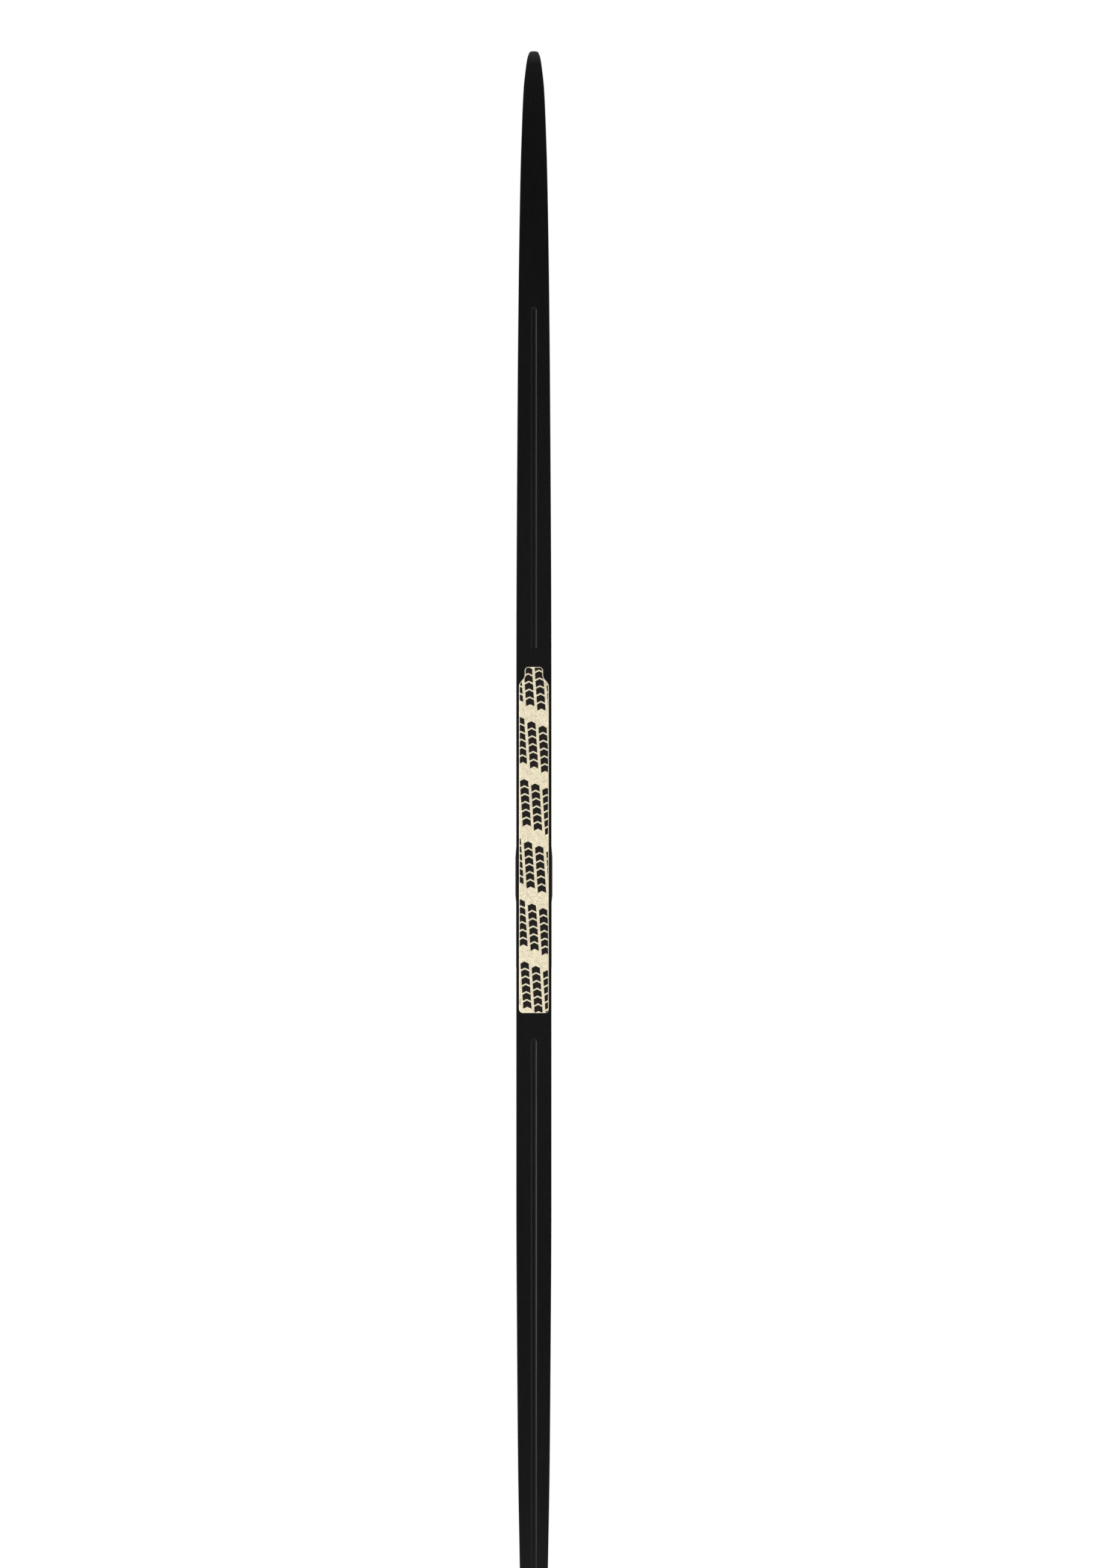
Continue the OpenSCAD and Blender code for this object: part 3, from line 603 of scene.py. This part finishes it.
def base_sheet():
    """The running base: round grooves, bevelled edges and the skin's recess cut through it."""
    bevel, edge_r = 0.35, 0.1
    around_groove, share_of_half = 4.6, 0.75
    flat_columns, groove_columns = 7, 33
    turns = (FRONT_GROOVE[0] + 2, FRONT_GROOVE[1] - 2, REAR_GROOVE[1] - 2)
    z = spaced(0, LENGTH, STEP, [(end - 6, end + 6, 0.5) for end in turns] + ENDS_DENSE)
    half = half_w(z)
    inner = np.minimum(around_groove, share_of_half * half)
    outer = half - bevel - inner
    flat = [inner + k * outer for k in np.linspace(0, 1, flat_columns + 1)[1:]]
    columns = [-x for x in reversed(flat)]
    columns += [k * inner for k in np.linspace(-1, 1, groove_columns)] + flat
    low = base_y(z)
    under = [(x, low + groove(x, z)) for x in columns]
    over = low + BASE_T
    sides = [(half - edge_r, low + edge_r), (half, low + bevel), (half, over)]
    left = [(-x, y) for x, y in reversed(sides)]
    sheet = loft("base_sheet_ground", ring(under + sides + left, z), [base_pe], 50)
    cutter = skin_cutter()
    cut = sheet.modifiers.new("skin_recess", "BOOLEAN")
    cut.operation = "DIFFERENCE"
    cut.solver = "EXACT"
    cut.object = cutter
    apply_modifiers(sheet)
    bpy.data.objects.remove(cutter)
    finish_mesh(sheet, 50)
    return ride(sheet, "ski", "base_pe", "base_sheet")


def skin_stations(low, high):
    """Stations along the skin, closer over its rear corners and over its tongue."""
    step, fine, corners, tongue = 3, 0.35, 7, 30
    return spaced(low, high, step, [(low, low + corners, fine), (high - tongue, high, fine)])


def skin_cutter():
    """A block with the outline of the skin's recess, well through the base."""
    under, over = -40, 60
    z = skin_stations(SKIN_REAR, SKIN_FRONT)
    half = skin_half(z)
    sections = [(-half, under), (half, under), (half, over), (-half, over)]
    return loft("skin_cutter", ring(sections, z))


def apply_modifiers(piece):
    """Turns what the piece's modifiers make into its own mesh."""
    graph = bpy.context.evaluated_depsgraph_get()
    made = bpy.data.meshes.new_from_object(piece.evaluated_get(graph))
    piece.modifiers.clear()
    piece.data = made


def nap(x, z):
    """The pile's uneven surface: soft waves across and along, from 0 to 1."""
    waves = np.sin(2.1 * x + 1.3 * np.sin(0.23 * z)) * np.sin(0.61 * z + 1.7 * np.sin(0.9 * x))
    fine = np.sin(7.3 * x + 2.1 * np.sin(1.1 * z)) * np.sin(1.9 * z + x)
    return 0.5 + 0.3 * waves + 0.2 * fine


def grip_skin():
    """The skin's strip: it swells out of its recess, with a bare rim and an uneven pile."""
    round_w, sunk, extra, uneven = 1.2, 0.1, 0.02, 0.08
    rim_columns, print_columns = (0, 0.05, 0.2, 0.45), 41
    z = skin_stations(SKIN_REAR + SKIN_GAP, SKIN_FRONT - SKIN_GAP)
    half = skin_half(z) - SKIN_GAP
    low, over = base_y(z), base_y(z) + BASE_T - BACKING_T
    ends = np.minimum(z - z[0], z[-1] - z)
    edge = [-half + away for away in rim_columns]
    inner = [k * (half - SKIN_RIM) for k in np.linspace(-1, 1, print_columns)]
    under = []
    for x in edge + inner + [-x for x in reversed(edge)]:
        from_edge = np.minimum(half - np.abs(x), ends)
        swell = np.sqrt(np.clip(from_edge / round_w, 0, 1))
        under.append((x, low + sunk - swell * (SKIN_PROUD + extra + uneven * nap(x, z))))
    rings = ring(under + [(half, over), (-half, over)], z)
    skin = loft("grip_skin_strip", rings, [mohair, mohair_rim], 40)
    leave_rim_bare(skin, z[0], z[-1])
    skin_pile()
    return ride(skin, "ski", "mohair", "grip_skin")


def leave_rim_bare(skin, rear, front):
    """The cut edge of the skin shows its pile from the side, which has no print."""
    polygons = skin.data.polygons
    centres = np.empty(3 * len(polygons))
    polygons.foreach_get("center", centres)
    x, _, z = centres.reshape(-1, 3).T / MM
    at_side = skin_half(z) - SKIN_GAP - np.abs(x) < SKIN_RIM
    at_end = (z - rear < SKIN_RIM) | (front - z < SKIN_RIM)
    polygons.foreach_set("material_index", (at_side | at_end).astype(int))


def skin_pile():
    """Fine tufts lying towards the tail, each a closed sliver, clear of the skin's rim."""
    count, from_side, from_rear, from_front = 15000, 1.2, 3.4, 1
    deep, root_y = 0.16, 0.12
    rng = np.random.default_rng(7)
    z = rng.uniform(SKIN_REAR + from_rear, SKIN_FRONT - from_front, count)
    x = rng.uniform(-1, 1, count) * (skin_half(z) - from_side)
    long, wide = rng.uniform(1.8, 3.0, count), rng.uniform(0.10, 0.19, count)
    rise, drift = rng.uniform(0.10, 0.22, count), rng.normal(0, 0.18, count)
    root = np.stack([x, base_y(z) - SKIN_PROUD + root_y, z], axis=-1)
    end = np.stack([x + drift, base_y(z - long) - SKIN_PROUD - rise, z - long], axis=-1)
    across = np.stack([wide, 0 * x, 0 * x], axis=-1)
    under = np.array([0, -deep, 0])
    points = np.stack([root - across, root + across, root + under, end], axis=1)
    corners = np.array([(0, 2, 1), (0, 1, 3), (1, 2, 3), (2, 0, 3)])
    faces = (4 * np.arange(count)[:, None, None] + corners).reshape(-1, 3).tolist()
    tufts = new_piece("grip_skin_pile", points.reshape(-1, 3), faces, [pile], 180)
    return ride(tufts, "ski", "mohair")


def top_sheet():
    """The printed film, with its edges rolled over and a band of colour for each stretch."""
    limits = [WHITE_END, RED_END, PLAIN_END]
    r, turn_points, columns = 0.5, 5, 9
    z = spaced(0, LENGTH, STEP, [border(limit) for limit in limits] + ENDS_DENSE)
    half = np.maximum(half_w(z) - lean(z), LEAST_HALF)
    high, low = top_y(z), top_y(z) - SHEET_T
    turn = np.linspace(0, math.pi / 2, turn_points)
    right = [(half, low)] + [(half - r + r * math.cos(a), high - r + r * math.sin(a)) for a in turn]
    across = [(k * (half - r), high) for k in np.linspace(1, -1, columns)[1:-1]]
    left = [(-x, y) for x, y in reversed(right)]
    sheet = loft("top_sheet_film", ring(right + across + left, z),
                 [film_pale, film_red, film_rear, film_front], 50, bands(limits))
    return ride(sheet, "ski", "top_film", "top_sheet")


def sidewall(name, side):
    """A sidewall that bulges a little over its lean, side -1 on the left and 1 on the right."""
    limits = [WHITE_END, LEAN_END]
    bulge, heights = 1.6, (0.8, 0.5, 0.25, 0.08)
    z = spaced(CORE_LOW, CORE_HIGH, STEP, [border(limit) for limit in limits])
    half, inset = half_w(z), lean(z)
    low, high = base_y(z) + BASE_T, top_y(z) - SHEET_T
    sections = [(half - WALL_T, low), (half - WALL_T, high), (half - inset, high)]
    for share in heights:
        sections.append((half - inset * share**bulge, low + (high - low) * share))
    sections.append((half, low))
    sections = [(side * x, y) for x, y in sections]
    return loft(name, ring(sections, z), [wall_pink, wall_red, wall_dark], 40, bands(limits))


def spacer(name, low, high, inset):
    """A moulded end piece between the layers; inset is 1 where it leans in like the sidewalls."""
    step, hollow = 4, 0.12
    z = spaced(low, high, step, ENDS_DENSE)
    half = np.maximum(half_w(z) - inset * lean(z), LEAST_HALF)
    under, over = base_y(z) + BASE_T, top_y(z) - SHEET_T
    sections = [(half, under), (half - hollow, (under + over) / 2), (half, over)]
    sections += [(-x, y) for x, y in reversed(sections)]
    return loft(name, ring(sections, z), [spacer_dark], 40)


base_sheet()
grip_skin()
top_sheet()
ride(sidewall("sidewall_left_wall", -1), "ski", "sidewall", "sidewall_left")
ride(sidewall("sidewall_right_wall", 1), "ski", "sidewall", "sidewall_right")
ride(spacer("tip_spacer_cap", CORE_HIGH, LENGTH, 0), "ski", "spacer", "tip_spacer")
ride(spacer("tail_spacer_cap", 0, CORE_LOW, 1), "ski", "spacer", "tail_spacer")


# ---- the binding ----

def rounded(node, name, body, slot, material, radius, segments=3, angle=24):
    """A piece with the CAD node's shape and its edges rounded as a mould or a press leaves them."""
    same_point, flat_deg, smooth_deg = 0.004, 1, 38
    bm = bmesh.new()
    bm.from_mesh(nodes[node].data)
    bmesh.ops.remove_doubles(bm, verts=bm.verts, dist=same_point * MM)
    bmesh.ops.dissolve_limit(
        bm, angle_limit=math.radians(flat_deg), verts=bm.verts, edges=bm.edges)
    mesh = bpy.data.meshes.new(name)
    bm.to_mesh(mesh)
    bm.free()
    mesh.materials.append(material)
    piece = bpy.data.objects.new(name, mesh)
    bpy.context.scene.collection.objects.link(piece)
    bevel = piece.modifiers.new("edges", "BEVEL")
    bevel.width = radius * MM
    bevel.segments = segments
    bevel.limit_method = "ANGLE"
    bevel.angle_limit = math.radians(angle)
    bevel.miter_outer = "MITER_ARC"
    apply_modifiers(piece)
    smooth_faces(piece, smooth_deg)
    weigh = piece.modifiers.new("normals", "WEIGHTED_NORMAL")
    weigh.keep_sharp = True
    return ride(piece, body, slot, node)


# Each row ends with the edges' radius in millimetres. The flexor's are rounder.
for row in [
    ("binding_plate", "binding_plate_moulding", "ski", "binding_plastic", plastic_rear, 0.35),
    ("housing", "housing_moulding", "ski", "binding_plastic", plastic, 0.4),
    ("heel_plate", "heel_plate_moulding", "ski", "binding_plastic", plastic, 0.4),
    ("heel_pad", "heel_pad_ribs", "ski", "rubber", rubber, 0.5),
    ("flexor", "flexor_block", "ski", "rubber", rubber, 1.2, 4, 12),
    ("toe_bar_seat", "toe_bar_cradle", "ski", "steel", steel, 0.25),
    ("latch", "latch_hook", "latch", "steel", steel, 0.2),
    ("lever", "lever_paddle", "lever", "lever_plastic", plastic_lever, 0.35),
    ("lever_pin", "lever_pin_turned", "ski", "steel", screw_steel, 0.25),
    ("plate_screws", "plate_screws_heads", "ski", "steel", screw_steel, 0.2),
    ("heel_screws", "heel_screws_heads", "ski", "steel", screw_steel, 0.2),
]:
    rounded(*row)



def spring_coil():
    """The latch's spring, with a closed coil at each end."""
    turns, per_turn, sides = 7, 28, 10
    coil_r, wire_r, above_deck = 1.5, 0.3, 6
    rear, front, travel = 992.2, 1004.5, 5.6
    # The rise of each end's closed coil.
    closed = 0.62
    middle = DECK_Y + above_deck
    turn = np.linspace(0, turns, turns * per_turn + 1)
    room = front - rear - 2 * wire_r
    z = rear + wire_r + np.interp(turn, [0, 1, turns - 1, turns], [0, closed, room - closed, room])
    a, b = 2 * math.pi * turn[:, None], 2 * math.pi * np.arange(sides) / sides
    out, up = coil_r + wire_r * np.cos(b), z[:, None] + wire_r * np.sin(b)
    rings = np.stack([out * np.cos(a), middle + out * np.sin(a), up], axis=-1)
    coil = loft("latch_spring_coil", rings, [spring_steel])
    ride(coil, "ski", "spring_steel", "latch_spring")
    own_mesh(coil)


spring_coil()

# The inner layers keep their CAD meshes, with a finish of their own.
for name, material in {
    "core": wood, "binding_insert": glass_mat, "lower_laminate": laminate,
    "upper_laminate": laminate, "skin_backing": backing,
}.items():
    node = nodes[name]
    node.data.materials.clear()
    node.data.materials.append(material)


# ---- camera, light and floor ----

# The picture's size, the size of one of its units, and where the ski's middle and tip lie.
PICTURE_W, PICTURE_H = 1500, 2100
PIXEL = 0.975 * MM
SKI_ACROSS, TIP_DOWN = 715, 68.6


def camera():
    """A level camera without perspective, which sees the running base."""
    away, farthest = 3, 30
    data = bpy.data.cameras.new("camera")
    data.type = "ORTHO"
    data.ortho_scale = PICTURE_H * PIXEL
    data.clip_end = farthest
    made = bpy.data.objects.new("camera", data)
    bpy.context.scene.collection.objects.link(made)
    made.location = (
        (PICTURE_W / 2 - SKI_ACROSS) * PIXEL, -away,
        LENGTH * MM - (PICTURE_H / 2 - TIP_DOWN) * PIXEL,
    )
    made.rotation_euler = (math.radians(90), 0, 0)
    bpy.context.scene.camera = made


# Name, azimuth, elevation, strength, spread.
SUNS = [
    ("key", -62, 14, 3.7, 40), ("fill", 66, 18, 1.6, 40), ("back_left", -135, 25, 1.3, 40),
    ("back_right", 130, 25, 1.3, 40), ("top", 0, 78, 0.9, 60),
]


def soft_sun(name, azimuth, elevation, strength, spread):
    """Even light from one side; azimuth 0 shines from the camera's side, 90 from +X."""
    data = bpy.data.lights.new(name, "SUN")
    data.energy = strength
    data.angle = math.radians(spread)
    light = bpy.data.objects.new(name, data)
    bpy.context.scene.collection.objects.link(light)
    a, e = math.radians(azimuth), math.radians(elevation)
    source = Vector((math.sin(a) * math.cos(e), -math.cos(a) * math.cos(e), math.sin(e)))
    light.location = source * 3
    light.rotation_euler = (-source).to_track_quat("-Z", "Y").to_euler()


def studio():
    """White surroundings for the camera, and softer ones for the light that falls on the ski."""
    world = bpy.data.worlds.new("studio")
    bpy.context.scene.world = world
    world.use_nodes = True
    tree = world.node_tree
    shown, ambient = tree.nodes["Background"], tree.nodes.new("ShaderNodeBackground")
    for background, strength in (shown, 1.0), (ambient, 0.12):
        background.inputs["Color"].default_value = (1, 1, 1, 1)
        background.inputs["Strength"].default_value = strength
    path = tree.nodes.new("ShaderNodeLightPath")
    mix = tree.nodes.new("ShaderNodeMixShader")
    tree.links.new(path.outputs["Is Camera Ray"], mix.inputs["Fac"])
    tree.links.new(ambient.outputs[0], mix.inputs[1])
    tree.links.new(shown.outputs[0], mix.inputs[2])
    tree.links.new(mix.outputs[0], tree.nodes["World Output"].inputs["Surface"])
    for sun in SUNS:
        soft_sun(*sun)


def floor():
    """A plain pale floor just under the tail."""
    size, below = 14, 0.6
    bpy.ops.mesh.primitive_plane_add(size=size, location=(0, 0, -below * MM))
    plane = bpy.context.object
    plane.name = "floor"
    plane.data.materials.append(Finish("floor", (0.90, 0.90, 0.89), 0.6, specular=0.1).material)


bpy.context.scene.view_settings.view_transform = "Standard"
camera()
studio()
floor()
